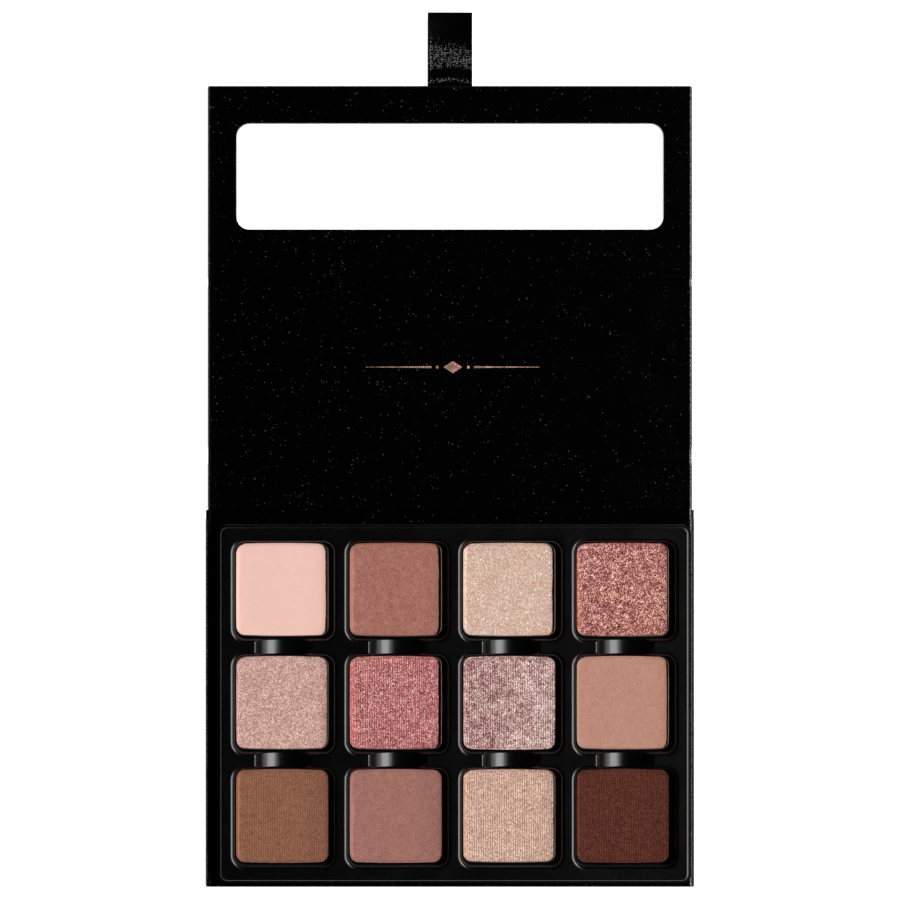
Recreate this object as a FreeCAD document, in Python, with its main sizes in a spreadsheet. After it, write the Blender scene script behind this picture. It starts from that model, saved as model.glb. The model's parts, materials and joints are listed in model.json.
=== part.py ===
import FreeCAD, Part
import Sketcher
import math
import os

# Eyeshadow palette: a book-style card case wrapped in leatherette paper, lying open on its back.
# Four panels follow each other along +Y: the base with its tray of twelve powder pans, the spine,
# the rear half of the lid, and the window flap with its ribbon tab.
# Millimetres, +Z up. The origin is the middle of the base panel's underside.

COLUMNS = 4
ROWS = 3

DRIVING_SIZES = [
    ("border_left", 4.2, "base panel beyond the tray, on the left"),
    ("border_right", 1.6, "base panel beyond the tray, on the right"),
    ("border_front", 2.3, "base panel beyond the tray, at the front"),
    ("border_back", 1.6, "base panel beyond the tray, at the back"),
    ("lid_inset", 0.6, "spine, lid and flap inside the base panel, on each side"),
    ("lid_length", 45.5, "rear lid panel, front to back"),
    ("wrap_thick", 0.25, "leatherette paper"),
    ("board_thick", 1.5, "card core of every panel"),
    ("liner_thick", 0.25, "lining sheet"),
    ("turn_in", 4.0, "wrap folded over onto the inner side"),
    ("liner_inset", 2.1, "lining sheet's edge from the panel's edge"),
    ("bed_gap", 0.1, "play around a sheet or bar let into another"),
    ("fold_clear", 0.48, "shut spine from the base panel's back edge"),
    ("fold_slack", 0.15, "spine card's edge from its fold lines"),
    ("top_gap", 4.4, "rear lid panel from the fold at the spine"),
    ("flap_gap", 2.2, "between rear lid panel and flap"),
    ("lid_clear", 0.56, "shut lid above the tray"),
    ("tray_side", 4.5, "outer wells from the tray's left and right sides"),
    ("tray_end", 4.75, "outer wells from the tray's front and back"),
    ("tray_corner", 2.2, "tray's corners, seen from above"),
    ("tray_wall", 1.0, "tray's skirt and well walls"),
    ("tray_ceiling", 1.2, "tray's top plate"),
    ("ledge_width", 0.65, "step around the tray's top"),
    ("ledge_drop", 0.7, "step below the tray's top"),
    ("rim_round", 0.6, "rounded edge of the tray's top"),
    ("web_across", 4.0, "between two columns of wells"),
    ("web_along", 4.5, "between two rows of wells"),
    ("room_across", 0.9, "play between a pan and its well, on the left and right"),
    ("room_along", 0.6, "play between a pan and its well, in front and behind"),
    ("pan_left", 0.6, "pans stand to the left of their wells' middles"),
    ("pan_back", 0.2, "pans stand behind their wells' middles"),
    ("well_corner", 3.0, "well's corners"),
    ("mouth_round", 1.2, "rounded edge of each well's mouth"),
    ("well_floor", 1.0, "tray's floor under each pan"),
    ("scoop_width", 16.0, "finger scoop between two rows"),
    ("scoop_depth", 4.3, "finger scoop below the tray's top"),
    ("scoop_round", 0.5, "rounded edge of each finger scoop"),
    ("pan_side", 26.0, "square pan"),
    ("pan_corner", 2.3, "pan's corners"),
    ("pan_height", 4.8, "pan, floor to rim"),
    ("pan_wall", 0.3, "tinplate"),
    ("pan_drop", 2.3, "pan's rim below the tray's top"),
    ("cake_gap", 0.05, "powder cake from the pan's wall"),
    ("cake_low", 0.15, "cake's border below the pan's rim"),
    ("cake_border", 1.3, "unpressed border around each cake"),
    ("cake_press", 0.4, "pressed middle below the border"),
    ("magnetic_thick", 0.6, "magnetic sheet under the wells"),
    ("magnetic_margin", 1.5, "magnetic sheet from the tray's skirt"),
    ("magnet_length", 12.0, "closing magnet, left to right"),
    ("magnet_width", 2.4, "closing magnet, front to back"),
    ("tray_magnet", 2.0, "thickness of the magnets in the tray"),
    ("flap_magnet", 1.0, "thickness of the magnets in the flap"),
    ("magnet_end", 26.1, "middle of a magnet from the tray's side"),
    ("window_side", 8.1, "window from the flap's left and right sides"),
    ("window_front", 10.6, "window from the flap's free edge"),
    ("window_back", 13.8, "window from the flap's folded edge"),
    ("window_corner", 3.7, "window's corners"),
    ("film_thick", 0.2, "clear film"),
    ("film_lap", 4.0, "film glued down around the window"),
    ("ribbon_width", 12.6, "ribbon tab, left to right"),
    ("ribbon_thick", 0.3, "ribbon"),
    ("ribbon_loop", 1.1, "ribbon folded double, over both layers"),
    ("ribbon_reach", 20.5, "ribbon tab beyond the flap's edge"),
    ("ribbon_film", 0.8, "glued end of the ribbon from the film"),
]

doc = FreeCAD.newDocument("EyeshadowPalette")
sheet = doc.addObject("Spreadsheet::Sheet", "Sizes")
for row, (alias, value, note) in enumerate(DRIVING_SIZES, start=1):
    sheet.set(f"A{row}", note)
    sheet.set(f"B{row}", str(value))
    sheet.setAlias(f"B{row}", alias)
doc.recompute()


def sizes(expression):
    """Write every driving size in an expression with the sheet's name before it."""
    for alias in sorted((entry[0] for entry in DRIVING_SIZES), key=len, reverse=True):
        expression = expression.replace(f"@{alias}", f"Sizes.{alias}")
    return f"({expression})"


def number(expression):
    """The present value of an expression."""
    return float(sheet.evalExpression(expression))


# Heights of the layers of a panel, from its underside
CARD_TOP = sizes("@wrap_thick + @board_thick")
TURN_IN_TOP = sizes("2 * @wrap_thick + @board_thick")
PANEL_TOP = sizes("2 * @wrap_thick + @board_thick + @liner_thick")
ABOVE_SKIN = sizes(f"{PANEL_TOP} - @wrap_thick")
EDGE_ROUND = sizes("2 * @wrap_thick")

# A well gives its pan room, the wells set the tray's size, and the tray sets the base panel's
WELL_WIDTH = sizes("@pan_side + 2 * @room_across")
WELL_LENGTH = sizes("@pan_side + 2 * @room_along")
PITCH_ACROSS = sizes(f"{WELL_WIDTH} + @web_across")
PITCH_ALONG = sizes(f"{WELL_LENGTH} + @web_along")
TRAY_WIDTH = sizes(f"{COLUMNS - 1} * {PITCH_ACROSS} + {WELL_WIDTH} + 2 * @tray_side")
TRAY_DEPTH = sizes(f"{ROWS - 1} * {PITCH_ALONG} + {WELL_LENGTH} + 2 * @tray_end")
BASE_WIDTH = sizes(f"{TRAY_WIDTH} + @border_left + @border_right")
BASE_DEPTH = sizes(f"{TRAY_DEPTH} + @border_front + @border_back")
LID_WIDTH = sizes(f"{BASE_WIDTH} - 2 * @lid_inset")
TRAY_X = sizes("(@border_left - @border_right) / 2")
TRAY_Y = sizes("(@border_front - @border_back) / 2")

# Heights in the tray, from its underside
TRAY_HEIGHT = sizes("@magnetic_thick + @well_floor + @pan_height + @pan_drop")
WELL_FLOOR_UNDER = sizes("@magnetic_thick")
WELL_FLOOR_TOP = sizes("@magnetic_thick + @well_floor")

# The three folds. The first two turn on the skin's inner face, the third on its outer face.
REAR_GAP = sizes(f"{ABOVE_SKIN} + @fold_clear")
REAR_FOLD = sizes(f"{BASE_DEPTH} / 2 + {REAR_GAP}")
SPINE_SPAN = sizes(f"{PANEL_TOP} + {TRAY_HEIGHT} + @lid_clear + {ABOVE_SKIN} - @wrap_thick")
TOP_FOLD = sizes(f"{REAR_FOLD} + {SPINE_SPAN}")
LID_START = sizes(f"{TOP_FOLD} + @top_gap")
LID_END = sizes(f"{LID_START} + @lid_length")
FLAP_FOLD = sizes(f"{LID_END} + @flap_gap / 2")
FLAP_START = sizes(f"{LID_END} + @flap_gap")
FREE_EDGE = sizes(f"{TOP_FOLD} + {REAR_FOLD} + {BASE_DEPTH} / 2")
FLAP_LENGTH = sizes(f"{FREE_EDGE} - {FLAP_START}")
FLAP_MIDDLE = sizes(f"({FLAP_START} + {FREE_EDGE}) / 2")
WINDOW_WIDTH = sizes(f"{LID_WIDTH} - 2 * @window_side")
WINDOW_LENGTH = sizes(f"{FLAP_LENGTH} - @window_front - @window_back")

# Closing magnets lie in the hollow front rim of the tray, and the flap's ones above them when shut
RIM_INSIDE = sizes(f"{TRAY_DEPTH} / 2 - @tray_wall")
WELLS_OUTSIDE = sizes(f"({ROWS - 1} * {PITCH_ALONG} + {WELL_LENGTH}) / 2 + @tray_wall")
MAGNET_BACK = sizes(f"({RIM_INSIDE} + {WELLS_OUTSIDE}) / 2")
MAGNET_IN_FLAP = sizes(f"{FREE_EDGE} - {BASE_DEPTH} / 2 + {MAGNET_BACK} - {TRAY_Y}")
MAGNET_SIDE = sizes(f"{TRAY_WIDTH} / 2 - @magnet_end")

# Two places closer than this are one
SAME_PLACE = 1e-4


def place(part, across="0", along="0", up="0"):
    """Put a sub-part at a place that follows the sheet."""
    for axis, expression in (("x", across), ("y", along), ("z", up)):
        part.setExpression(f"Placement.Base.{axis}", expression)


def new_body(label):
    body = doc.addObject("PartDesign::Body", label)
    body.Label = label
    return body


def new_sketch(body, name, role="XY_Plane", level=None):
    """A sketch on one of the body's own origin planes, raised to a level if one is given."""
    sketch = body.newObject("Sketcher::SketchObject", name)
    plane = next(feature for feature in body.Origin.OriginFeatures if feature.Role == role)
    sketch.AttachmentSupport = [(plane, "")]
    sketch.MapMode = "FlatFace"
    if level is not None:
        sketch.setExpression("AttachmentOffset.Base.z", level)
    return sketch


def bind(sketch, constraint, expression):
    """Add a measured constraint to a sketch and tie it to the sheet."""
    index = sketch.addConstraint(constraint)
    name = f"size{index}"
    sketch.renameConstraint(index, name)
    sketch.setExpression(f"Constraints.{name}", expression)


def add_rectangle(sketch, left, right, front, back, corner=None):
    """Draw a rectangle between four bound lines, with rounded corners if a radius is given."""
    x0, x1, y0, y1 = (number(edge) for edge in (left, right, front, back))
    first = sketch.GeometryCount
    radius = number(corner) if corner else 0.0
    ends = [
        ((x0 + radius, y0), (x1 - radius, y0)),
        ((x1, y0 + radius), (x1, y1 - radius)),
        ((x1 - radius, y1), (x0 + radius, y1)),
        ((x0, y1 - radius), (x0, y0 + radius)),
    ]
    for start, end in ends:
        sketch.addGeometry(Part.LineSegment(FreeCAD.Vector(*start), FreeCAD.Vector(*end)), False)
    if corner:
        centres = [
            (x1 - radius, y0 + radius),
            (x1 - radius, y1 - radius),
            (x0 + radius, y1 - radius),
            (x0 + radius, y0 + radius),
        ]
        for quarter, centre in enumerate(centres):
            circle = Part.Circle(FreeCAD.Vector(*centre), FreeCAD.Vector(0, 0, 1), radius)
            begin = (quarter - 1) * math.pi / 2
            sketch.addGeometry(Part.ArcOfCircle(circle, begin, begin + math.pi / 2), False)
    ties = []
    for side in range(4):
        following = first + (side + 1) % 4
        if corner:
            arc = first + 4 + side
            ties.append(Sketcher.Constraint("Tangent", first + side, 2, arc, 1))
            ties.append(Sketcher.Constraint("Tangent", arc, 2, following, 1))
        else:
            ties.append(Sketcher.Constraint("Coincident", first + side, 2, following, 1))
        direction = "Vertical" if side % 2 else "Horizontal"
        ties.append(Sketcher.Constraint(direction, first + side))
    if corner:
        for arc in range(first + 5, first + 8):
            ties.append(Sketcher.Constraint("Equal", first + 4, arc))
    sketch.addConstraint(ties)
    bind(sketch, Sketcher.Constraint("DistanceX", -1, 1, first + 3, 1, x0), left)
    bind(sketch, Sketcher.Constraint("DistanceX", -1, 1, first + 1, 1, x1), right)
    bind(sketch, Sketcher.Constraint("DistanceY", -1, 1, first, 1, y0), front)
    bind(sketch, Sketcher.Constraint("DistanceY", -1, 1, first + 2, 1, y1), back)
    if corner:
        bind(sketch, Sketcher.Constraint("Radius", first + 4, radius), corner)


def add_centred(sketch, width, length, corner=None):
    """Draw a rectangle about the sketch's origin."""
    edges = (f"-{width} / 2", f"{width} / 2", f"-{length} / 2", f"{length} / 2")
    add_rectangle(sketch, *edges, corner)


def pad(body, sketch, length, both_ways=False):
    feature = body.newObject("PartDesign::Pad", f"{sketch.Name}_pad")
    feature.Profile = sketch
    feature.setExpression("Length", length)
    feature.Midplane = both_ways
    doc.recompute()
    return feature


def pocket(body, sketch, length, upwards=False, both_ways=False):
    """Cut a sketch into the body, and make sure that it took material away."""
    before = body.Shape.Volume
    feature = body.newObject("PartDesign::Pocket", f"{sketch.Name}_pocket")
    feature.Profile = sketch
    feature.setExpression("Length", length)
    feature.Reversed = upwards
    feature.Midplane = both_ways
    doc.recompute()
    if body.Shape.Volume >= before:
        raise RuntimeError(f"{feature.Label} cut nothing")
    return feature


def round_edges(body, name, radius, wanted):
    """Round the edges of the body's last feature that a test picks out."""
    base = body.Tip
    edges = [f"Edge{index}" for index, edge in enumerate(base.Shape.Edges, start=1) if wanted(edge)]
    feature = body.newObject("PartDesign::Fillet", f"{body.Name}_{name}")
    feature.Base = (base, edges)
    feature.setExpression("Radius", radius)
    doc.recompute()
    return feature


def at_height(edge, height):
    return all(abs(vertex.Z - height) < SAME_PLACE for vertex in edge.Vertexes)


def plate(label, width, length, thick, corner=None):
    """A flat piece centred on its own origin, with its underside at zero."""
    body = new_body(label)
    sketch = new_sketch(body, f"{label}_outline")
    add_centred(sketch, width, length, corner)
    pad(body, sketch, thick)
    return body


def block(label, width, length, height, middle, bottom):
    """A box with its middle at a place along Y and its underside at a height."""
    box = doc.addObject("Part::Box", label)
    box.Label = label
    box.setExpression("Length", width)
    box.setExpression("Width", length)
    box.setExpression("Height", height)
    place(box, f"-{width} / 2", f"{middle} - {length} / 2", bottom)
    return box


def cut(label, base, *tools):
    """Take a row of tools away from a piece."""
    result = base
    for order, tool in enumerate(tools, start=1):
        last = order == len(tools)
        name = label if last else f"{label}_step{order}"
        feature = doc.addObject("Part::Cut", name)
        feature.Label = name
        feature.Base = result
        feature.Tool = tool
        result = feature
    doc.recompute()
    return result


def panel_card(label, width, length):
    """Card core, just inside the wrap on all four edges."""
    return plate(label, sizes(f"{width} - 2 * @wrap_thick"), sizes(f"{length} - 2 * @wrap_thick"),
                 sizes("@board_thick"))


def panel_skin(label, width, length, strip_before, strip_after, free_ends):
    """Outer form of the wrap: a rounded slab, its strips in the folds and the turn-in's opening.

    The edges along both sides are rounded, and so are the ends named in free_ends (-1 front, 1 back).
    """
    body = plate(label, width, length, TURN_IN_TOP)
    half_width = number(width) / 2
    half_length = number(length) / 2

    def on_free_side(edge):
        middle = edge.CenterOfMass
        on_side = abs(abs(middle.x) - half_width) < SAME_PLACE
        on_end = any(abs(middle.y - end * half_length) < SAME_PLACE for end in free_ends)
        upright = abs(middle.z - number(TURN_IN_TOP) / 2) < SAME_PLACE
        return (on_side and on_end) if upright else (on_side or on_end)

    round_edges(body, "edges", EDGE_ROUND, on_free_side)
    strips = new_sketch(body, f"{label}_strips")
    sides = (f"-{width} / 2", f"{width} / 2")
    if strip_before:
        add_rectangle(strips, *sides, f"-{length} / 2 - {strip_before}", f"-{length} / 2")
    if strip_after:
        add_rectangle(strips, *sides, f"{length} / 2", f"{length} / 2 + {strip_after}")
    pad(body, strips, sizes("@wrap_thick"))
    opening = new_sketch(body, f"{label}_opening", level=TURN_IN_TOP)
    add_centred(opening, sizes(f"{width} - 2 * @turn_in"), sizes(f"{length} - 2 * @turn_in"))
    pocket(body, opening, sizes("@wrap_thick"))
    return body


def panel_liner(label, width, length):
    """Lining sheet that overlaps the turn-in and beds down on the card inside it."""
    inner = [sizes(f"{side} - 2 * @turn_in - 2 * @bed_gap") for side in (width, length)]
    outer = [sizes(f"{side} - 2 * @liner_inset") for side in (width, length)]
    body = plate(label, *inner, sizes("@wrap_thick"))
    sketch = new_sketch(body, f"{label}_sheet", level=sizes("@wrap_thick"))
    add_centred(sketch, *outer)
    pad(body, sketch, sizes("@liner_thick"))
    return body


def panel(name, width, length, middle, strip_before, strip_after, free_ends):
    """Card, wrap and lining of one plain panel."""
    card = panel_card(f"{name}_board", width, length)
    skin = panel_skin(f"{name}_skin", width, length, strip_before, strip_after, free_ends)
    liner = panel_liner(f"{name}_liner", width, length)
    place(card, along=middle, up=sizes("@wrap_thick"))
    place(skin, along=middle)
    place(liner, along=middle, up=CARD_TOP)
    wrap = cut(f"{name}_wrap", skin, card)
    return [card, wrap, liner]


def window_sketch(body, name, level, grow="0"):
    """The window's outline, grown on every side, seen from the middle of the flap."""
    sketch = new_sketch(body, name, level=level)
    add_rectangle(
        sketch,
        sizes(f"-{WINDOW_WIDTH} / 2 - {grow}"),
        sizes(f"{WINDOW_WIDTH} / 2 + {grow}"),
        sizes(f"@window_back - {FLAP_LENGTH} / 2 - {grow}"),
        sizes(f"{FLAP_LENGTH} / 2 - @window_front + {grow}"),
        sizes(f"@window_corner + {grow}"),
    )
    return sketch


def window_flap():
    """Front half of the lid: card, wrap and lining with a window, its film, magnets and ribbon."""
    window_middle = sizes(f"{FREE_EDGE} - @window_front - {WINDOW_LENGTH} / 2")
    film_width = sizes(f"{WINDOW_WIDTH} + 2 * @film_lap")
    film_length = sizes(f"{WINDOW_LENGTH} + 2 * @film_lap")
    film_bottom = sizes(f"{CARD_TOP} - @film_thick")
    film_bed = block("film_bed", sizes(f"{film_width} + 2 * @bed_gap"),
                     sizes(f"{film_length} + 2 * @bed_gap"), sizes("@film_thick"), window_middle, film_bottom)
    tail = sizes("@window_front - @film_lap - @ribbon_film")
    ribbon_bed = block("ribbon_bed", sizes("@ribbon_width + 2 * @bed_gap"), sizes(f"{tail} + @bed_gap"),
                       sizes("@ribbon_loop"), sizes(f"{FREE_EDGE} - ({tail} + @bed_gap) / 2"),
                       sizes(f"{CARD_TOP} - @ribbon_loop"))

    card_blank = panel_card("flap_card_blank", LID_WIDTH, FLAP_LENGTH)
    pocket(card_blank, window_sketch(card_blank, "card_window", sizes("@board_thick"), "@wrap_thick"),
           sizes("@board_thick"))
    place(card_blank, along=FLAP_MIDDLE, up=sizes("@wrap_thick"))
    bed_size = [sizes(f"{side} + 2 * @bed_gap") for side in ("@magnet_length", "@magnet_width")]
    magnet_beds = bar_pair("flap_magnet_beds", *bed_size, sizes("@flap_magnet"))
    place(magnet_beds, along=MAGNET_IN_FLAP, up=sizes("@wrap_thick"))
    card = cut("flap_board", card_blank, film_bed, ribbon_bed, magnet_beds)

    skin = panel_skin("flap_skin", LID_WIDTH, FLAP_LENGTH, sizes("@flap_gap / 2"), None, (1,))
    pocket(skin, window_sketch(skin, "skin_window", TURN_IN_TOP), TURN_IN_TOP)
    place(skin, along=FLAP_MIDDLE)
    wrap = cut("flap_wrap", skin, card_blank, film_bed, ribbon_bed)

    liner = panel_liner("flap_liner", LID_WIDTH, FLAP_LENGTH)
    liner_top = sizes("@wrap_thick + @liner_thick")
    pocket(liner, window_sketch(liner, "liner_window", liner_top), liner_top)
    place(liner, along=FLAP_MIDDLE, up=CARD_TOP)

    film = plate("window_film", film_width, film_length, sizes("@film_thick"))
    place(film, along=window_middle, up=film_bottom)

    magnets = bar_pair("flap_magnets", sizes("@magnet_length"), sizes("@magnet_width"), sizes("@flap_magnet"))
    place(magnets, along=MAGNET_IN_FLAP, up=sizes("@wrap_thick"))

    ribbon = ribbon_tab(tail)
    place(ribbon, along=FREE_EDGE, up=sizes(f"{CARD_TOP} - @ribbon_loop / 2"))
    return [card, wrap, liner, film, magnets, ribbon]


def bar_pair(label, length, width, thick):
    """Two equal bars side by side, centred on their own origin."""
    bars = []
    for side, name in ((-1, "left"), (1, "right")):
        bar = doc.addObject("Part::Box", f"{label}_{name}")
        bar.setExpression("Length", length)
        bar.setExpression("Width", width)
        bar.setExpression("Height", thick)
        place(bar, sizes(f"{side} * {MAGNET_SIDE} - {length} / 2"), f"-{width} / 2")
        bars.append(bar)
    pair = doc.addObject("Part::MultiFuse", label)
    pair.Label = label
    pair.Shapes = bars
    doc.recompute()
    return pair


def ribbon_tab(tail):
    """A ribbon folded double: two layers, a round fold outside and two glued ends inside the flap."""
    body = new_body("ribbon_tab")
    sketch = new_sketch(body, "ribbon_profile", role="YZ_Plane")
    outer = number(sizes("@ribbon_loop / 2"))
    inner = outer - number(sizes("@ribbon_thick"))
    fold = number(sizes("@ribbon_reach")) - outer
    end = -number(tail)
    corners = [(end, -outer), (fold, -outer), (fold, outer), (end, outer),
               (end, inner), (fold, inner), (fold, -inner), (end, -inner)]
    points = [FreeCAD.Vector(*corner) for corner in corners]
    centre = FreeCAD.Vector(fold, 0)
    upwards = FreeCAD.Vector(0, 0, 1)
    sides = [
        Part.LineSegment(points[0], points[1]),
        Part.ArcOfCircle(Part.Circle(centre, upwards, outer), -math.pi / 2, math.pi / 2),
        Part.LineSegment(points[2], points[3]),
        Part.LineSegment(points[3], points[4]),
        Part.LineSegment(points[4], points[5]),
        Part.ArcOfCircle(Part.Circle(centre, upwards, inner), -math.pi / 2, math.pi / 2),
        Part.LineSegment(points[6], points[7]),
        Part.LineSegment(points[7], points[0]),
    ]
    sketch.addGeometry(sides, False)
    ties = [
        Sketcher.Constraint("Tangent", 0, 2, 1, 1),
        Sketcher.Constraint("Tangent", 1, 2, 2, 1),
        Sketcher.Constraint("Coincident", 2, 2, 3, 1),
        Sketcher.Constraint("Coincident", 3, 2, 4, 1),
        Sketcher.Constraint("Tangent", 4, 2, 5, 2),
        Sketcher.Constraint("Tangent", 5, 1, 6, 1),
        Sketcher.Constraint("Coincident", 6, 2, 7, 1),
        Sketcher.Constraint("Coincident", 7, 2, 0, 1),
        Sketcher.Constraint("Coincident", 1, 3, 5, 3),
        Sketcher.Constraint("PointOnObject", 1, 3, -1),
        Sketcher.Constraint("Horizontal", 0),
        Sketcher.Constraint("Vertical", 3),
        Sketcher.Constraint("Vertical", 7),
        Sketcher.Constraint("Equal", 0, 2),
    ]
    sketch.addConstraint(ties)
    bind(sketch, Sketcher.Constraint("Radius", 1, outer), sizes("@ribbon_loop / 2"))
    bind(sketch, Sketcher.Constraint("Radius", 5, inner), sizes("@ribbon_loop / 2 - @ribbon_thick"))
    fold_place = sizes("@ribbon_reach - @ribbon_loop / 2")
    bind(sketch, Sketcher.Constraint("DistanceX", -1, 1, 1, 3, fold), fold_place)
    bind(sketch, Sketcher.Constraint("DistanceX", -1, 1, 0, 1, end), f"-{tail}")
    pad(body, sketch, sizes("@ribbon_width"), both_ways=True)
    return body


def well_centre(column, row):
    """Middle of a well, seen from the tray's middle. Columns run left to right, rows back to front."""
    across = sizes(f"{column - (COLUMNS - 1) / 2} * {PITCH_ACROSS}")
    along = sizes(f"{(ROWS - 1) / 2 - row} * {PITCH_ALONG}")
    return across, along


def tray():
    """Moulded tray: stepped block, wells with round mouths, finger scoops, and a cored underside."""
    body = plate("tray", TRAY_WIDTH, TRAY_DEPTH, sizes(f"{TRAY_HEIGHT} - @ledge_drop"), sizes("@tray_corner"))
    top = new_sketch(body, "tray_top", level=sizes(f"{TRAY_HEIGHT} - @ledge_drop"))
    add_centred(top, sizes(f"{TRAY_WIDTH} - 2 * @ledge_width"), sizes(f"{TRAY_DEPTH} - 2 * @ledge_width"),
                sizes("@tray_corner - @ledge_width / 2"))
    pad(body, top, sizes("@ledge_drop"))
    round_edges(body, "rim", sizes("min(@rim_round; 0.9 * @ledge_drop)"),
                lambda edge: at_height(edge, number(TRAY_HEIGHT)))

    well = new_sketch(body, "wells", level=TRAY_HEIGHT)
    across, along = well_centre(0, 0)
    add_rectangle(
        well,
        sizes(f"{across} - {WELL_WIDTH} / 2"),
        sizes(f"{across} + {WELL_WIDTH} / 2"),
        sizes(f"{along} - {WELL_LENGTH} / 2"),
        sizes(f"{along} + {WELL_LENGTH} / 2"),
        sizes("@well_corner"),
    )
    first_well = pocket(body, well, sizes("@pan_drop + @pan_height"))
    wells = body.newObject("PartDesign::LinearPattern", "well_pattern")
    wells.Originals = [first_well]
    wells.Direction = (well, ["H_Axis"])
    wells.Mode = "Spacing"
    wells.Occurrences = COLUMNS
    wells.setExpression("Offset", PITCH_ACROSS)
    wells.Direction2 = (well, ["V_Axis"])
    wells.Reversed2 = True
    wells.Mode2 = "Spacing"
    wells.Occurrences2 = ROWS
    wells.setExpression("Offset2", PITCH_ALONG)
    # A spacing of -1 takes the offset
    wells.Spacings2 = [-1.0] * (ROWS - 1)
    body.Tip = wells
    doc.recompute()

    reach_across = number(well_centre(COLUMNS - 1, 0)[0]) + number(WELL_WIDTH) / 2
    reach_along = number(well_centre(0, 0)[1]) + number(WELL_LENGTH) / 2

    def around_a_mouth(edge):
        middle = edge.CenterOfMass
        inside = abs(middle.x) < reach_across + SAME_PLACE and abs(middle.y) < reach_along + SAME_PLACE
        return inside and at_height(edge, number(TRAY_HEIGHT))

    round_edges(body, "mouths", sizes("@mouth_round"), around_a_mouth)

    scoops = new_sketch(body, "scoops", role="XZ_Plane")
    scoop_radius = sizes("(@scoop_width ^ 2 / 4 + @scoop_depth ^ 2) / (2 * @scoop_depth)")
    scoop_height = sizes(f"{TRAY_HEIGHT} - @scoop_depth + {scoop_radius}")
    for column in range(COLUMNS):
        across = well_centre(column, 0)[0]
        centre = FreeCAD.Vector(number(across), number(scoop_height))
        circle = scoops.addGeometry(Part.Circle(centre, FreeCAD.Vector(0, 0, 1), number(scoop_radius)), False)
        bind(scoops, Sketcher.Constraint("Radius", circle, number(scoop_radius)), scoop_radius)
        bind(scoops, Sketcher.Constraint("DistanceX", -1, 1, circle, 3, centre.x), across)
        bind(scoops, Sketcher.Constraint("DistanceY", -1, 1, circle, 3, centre.y), scoop_height)
    pocket(body, scoops, sizes(f"{ROWS - 1} * {PITCH_ALONG}"), both_ways=True)

    def along_a_scoop(edge):
        round_one = edge.Curve.TypeId == "Part::GeomCircle"
        return round_one and abs(edge.Curve.Radius - number(scoop_radius)) < SAME_PLACE

    round_edges(body, "scoop_edges", sizes("@scoop_round"), along_a_scoop)

    under = new_sketch(body, "underside")
    inner = [sizes(f"{side} - 2 * @tray_wall") for side in (TRAY_WIDTH, TRAY_DEPTH)]
    inner_corner = sizes("@tray_corner - @tray_wall / 2")
    add_centred(under, *inner, inner_corner)
    pocket(body, under, WELL_FLOOR_UNDER, upwards=True)
    cores = new_sketch(body, "cores", level=WELL_FLOOR_UNDER)
    add_centred(cores, *inner, inner_corner)
    for column in range(COLUMNS):
        across = well_centre(column, 0)[0]
        add_rectangle(
            cores,
            sizes(f"{across} - {WELL_WIDTH} / 2 - @tray_wall"),
            sizes(f"{across} + {WELL_WIDTH} / 2 + @tray_wall"),
            f"-{WELLS_OUTSIDE}",
            WELLS_OUTSIDE,
        )
    pocket(body, cores, sizes(f"{TRAY_HEIGHT} - @tray_ceiling - {WELL_FLOOR_UNDER}"), upwards=True)
    return body


def pan(label):
    """Pressed tinplate pan, open at the top."""
    side = sizes("@pan_side")
    body = plate(label, side, side, sizes("@pan_height"), sizes("@pan_corner"))
    inside = new_sketch(body, f"{label}_inside", level=sizes("@pan_height"))
    inner = sizes("@pan_side - 2 * @pan_wall")
    add_centred(inside, inner, inner, sizes("@pan_corner - @pan_wall"))
    pocket(body, inside, sizes("@pan_height - @pan_wall"))
    return body


def powder(label):
    """Pressed powder cake with its middle a little lower than its border."""
    side = sizes("@pan_side - 2 * @pan_wall - 2 * @cake_gap")
    corner = sizes("@pan_corner - @pan_wall - @cake_gap")
    height = sizes("@pan_height - @pan_wall - @cake_low")
    body = plate(label, side, side, height, corner)
    middle = new_sketch(body, f"{label}_middle", level=height)
    inner = sizes(f"{side} - 2 * @cake_border")
    add_centred(middle, inner, inner, sizes(f"max({corner} - @cake_border; @cake_gap)"))
    pocket(body, middle, sizes("@cake_press"))
    return body


def filled_tray():
    """The tray on the base, its magnetic sheet and magnets, and a pan and a cake in every well."""
    moulding = tray()
    place(moulding, TRAY_X, TRAY_Y, PANEL_TOP)
    margin = sizes("@tray_wall + @magnetic_margin")
    sheet_sides = [sizes(f"{side} - 2 * {margin}") for side in (TRAY_WIDTH, TRAY_DEPTH)]
    magnetic = plate("magnetic_sheet", *sheet_sides, sizes("@magnetic_thick"))
    place(magnetic, TRAY_X, TRAY_Y, PANEL_TOP)
    magnets = bar_pair("base_magnets", sizes("@magnet_length"), sizes("@magnet_width"), sizes("@tray_magnet"))
    place(magnets, TRAY_X, sizes(f"{TRAY_Y} - {MAGNET_BACK}"),
          sizes(f"{PANEL_TOP} + {TRAY_HEIGHT} - @tray_ceiling - @tray_magnet"))
    pieces = [moulding, magnetic, magnets]
    for row in range(ROWS):
        for column in range(COLUMNS):
            across, along = well_centre(column, row)
            spot = f"r{row + 1}c{column + 1}"
            middle = (sizes(f"{TRAY_X} + {across} - @pan_left"), sizes(f"{TRAY_Y} + {along} + @pan_back"))
            tin = pan(f"pan_{spot}")
            place(tin, *middle, sizes(f"{PANEL_TOP} + {WELL_FLOOR_TOP}"))
            cake = powder(f"powder_{spot}")
            place(cake, *middle, sizes(f"{PANEL_TOP} + {WELL_FLOOR_TOP} + @pan_wall"))
            pieces += [tin, cake]
    return pieces


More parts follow.
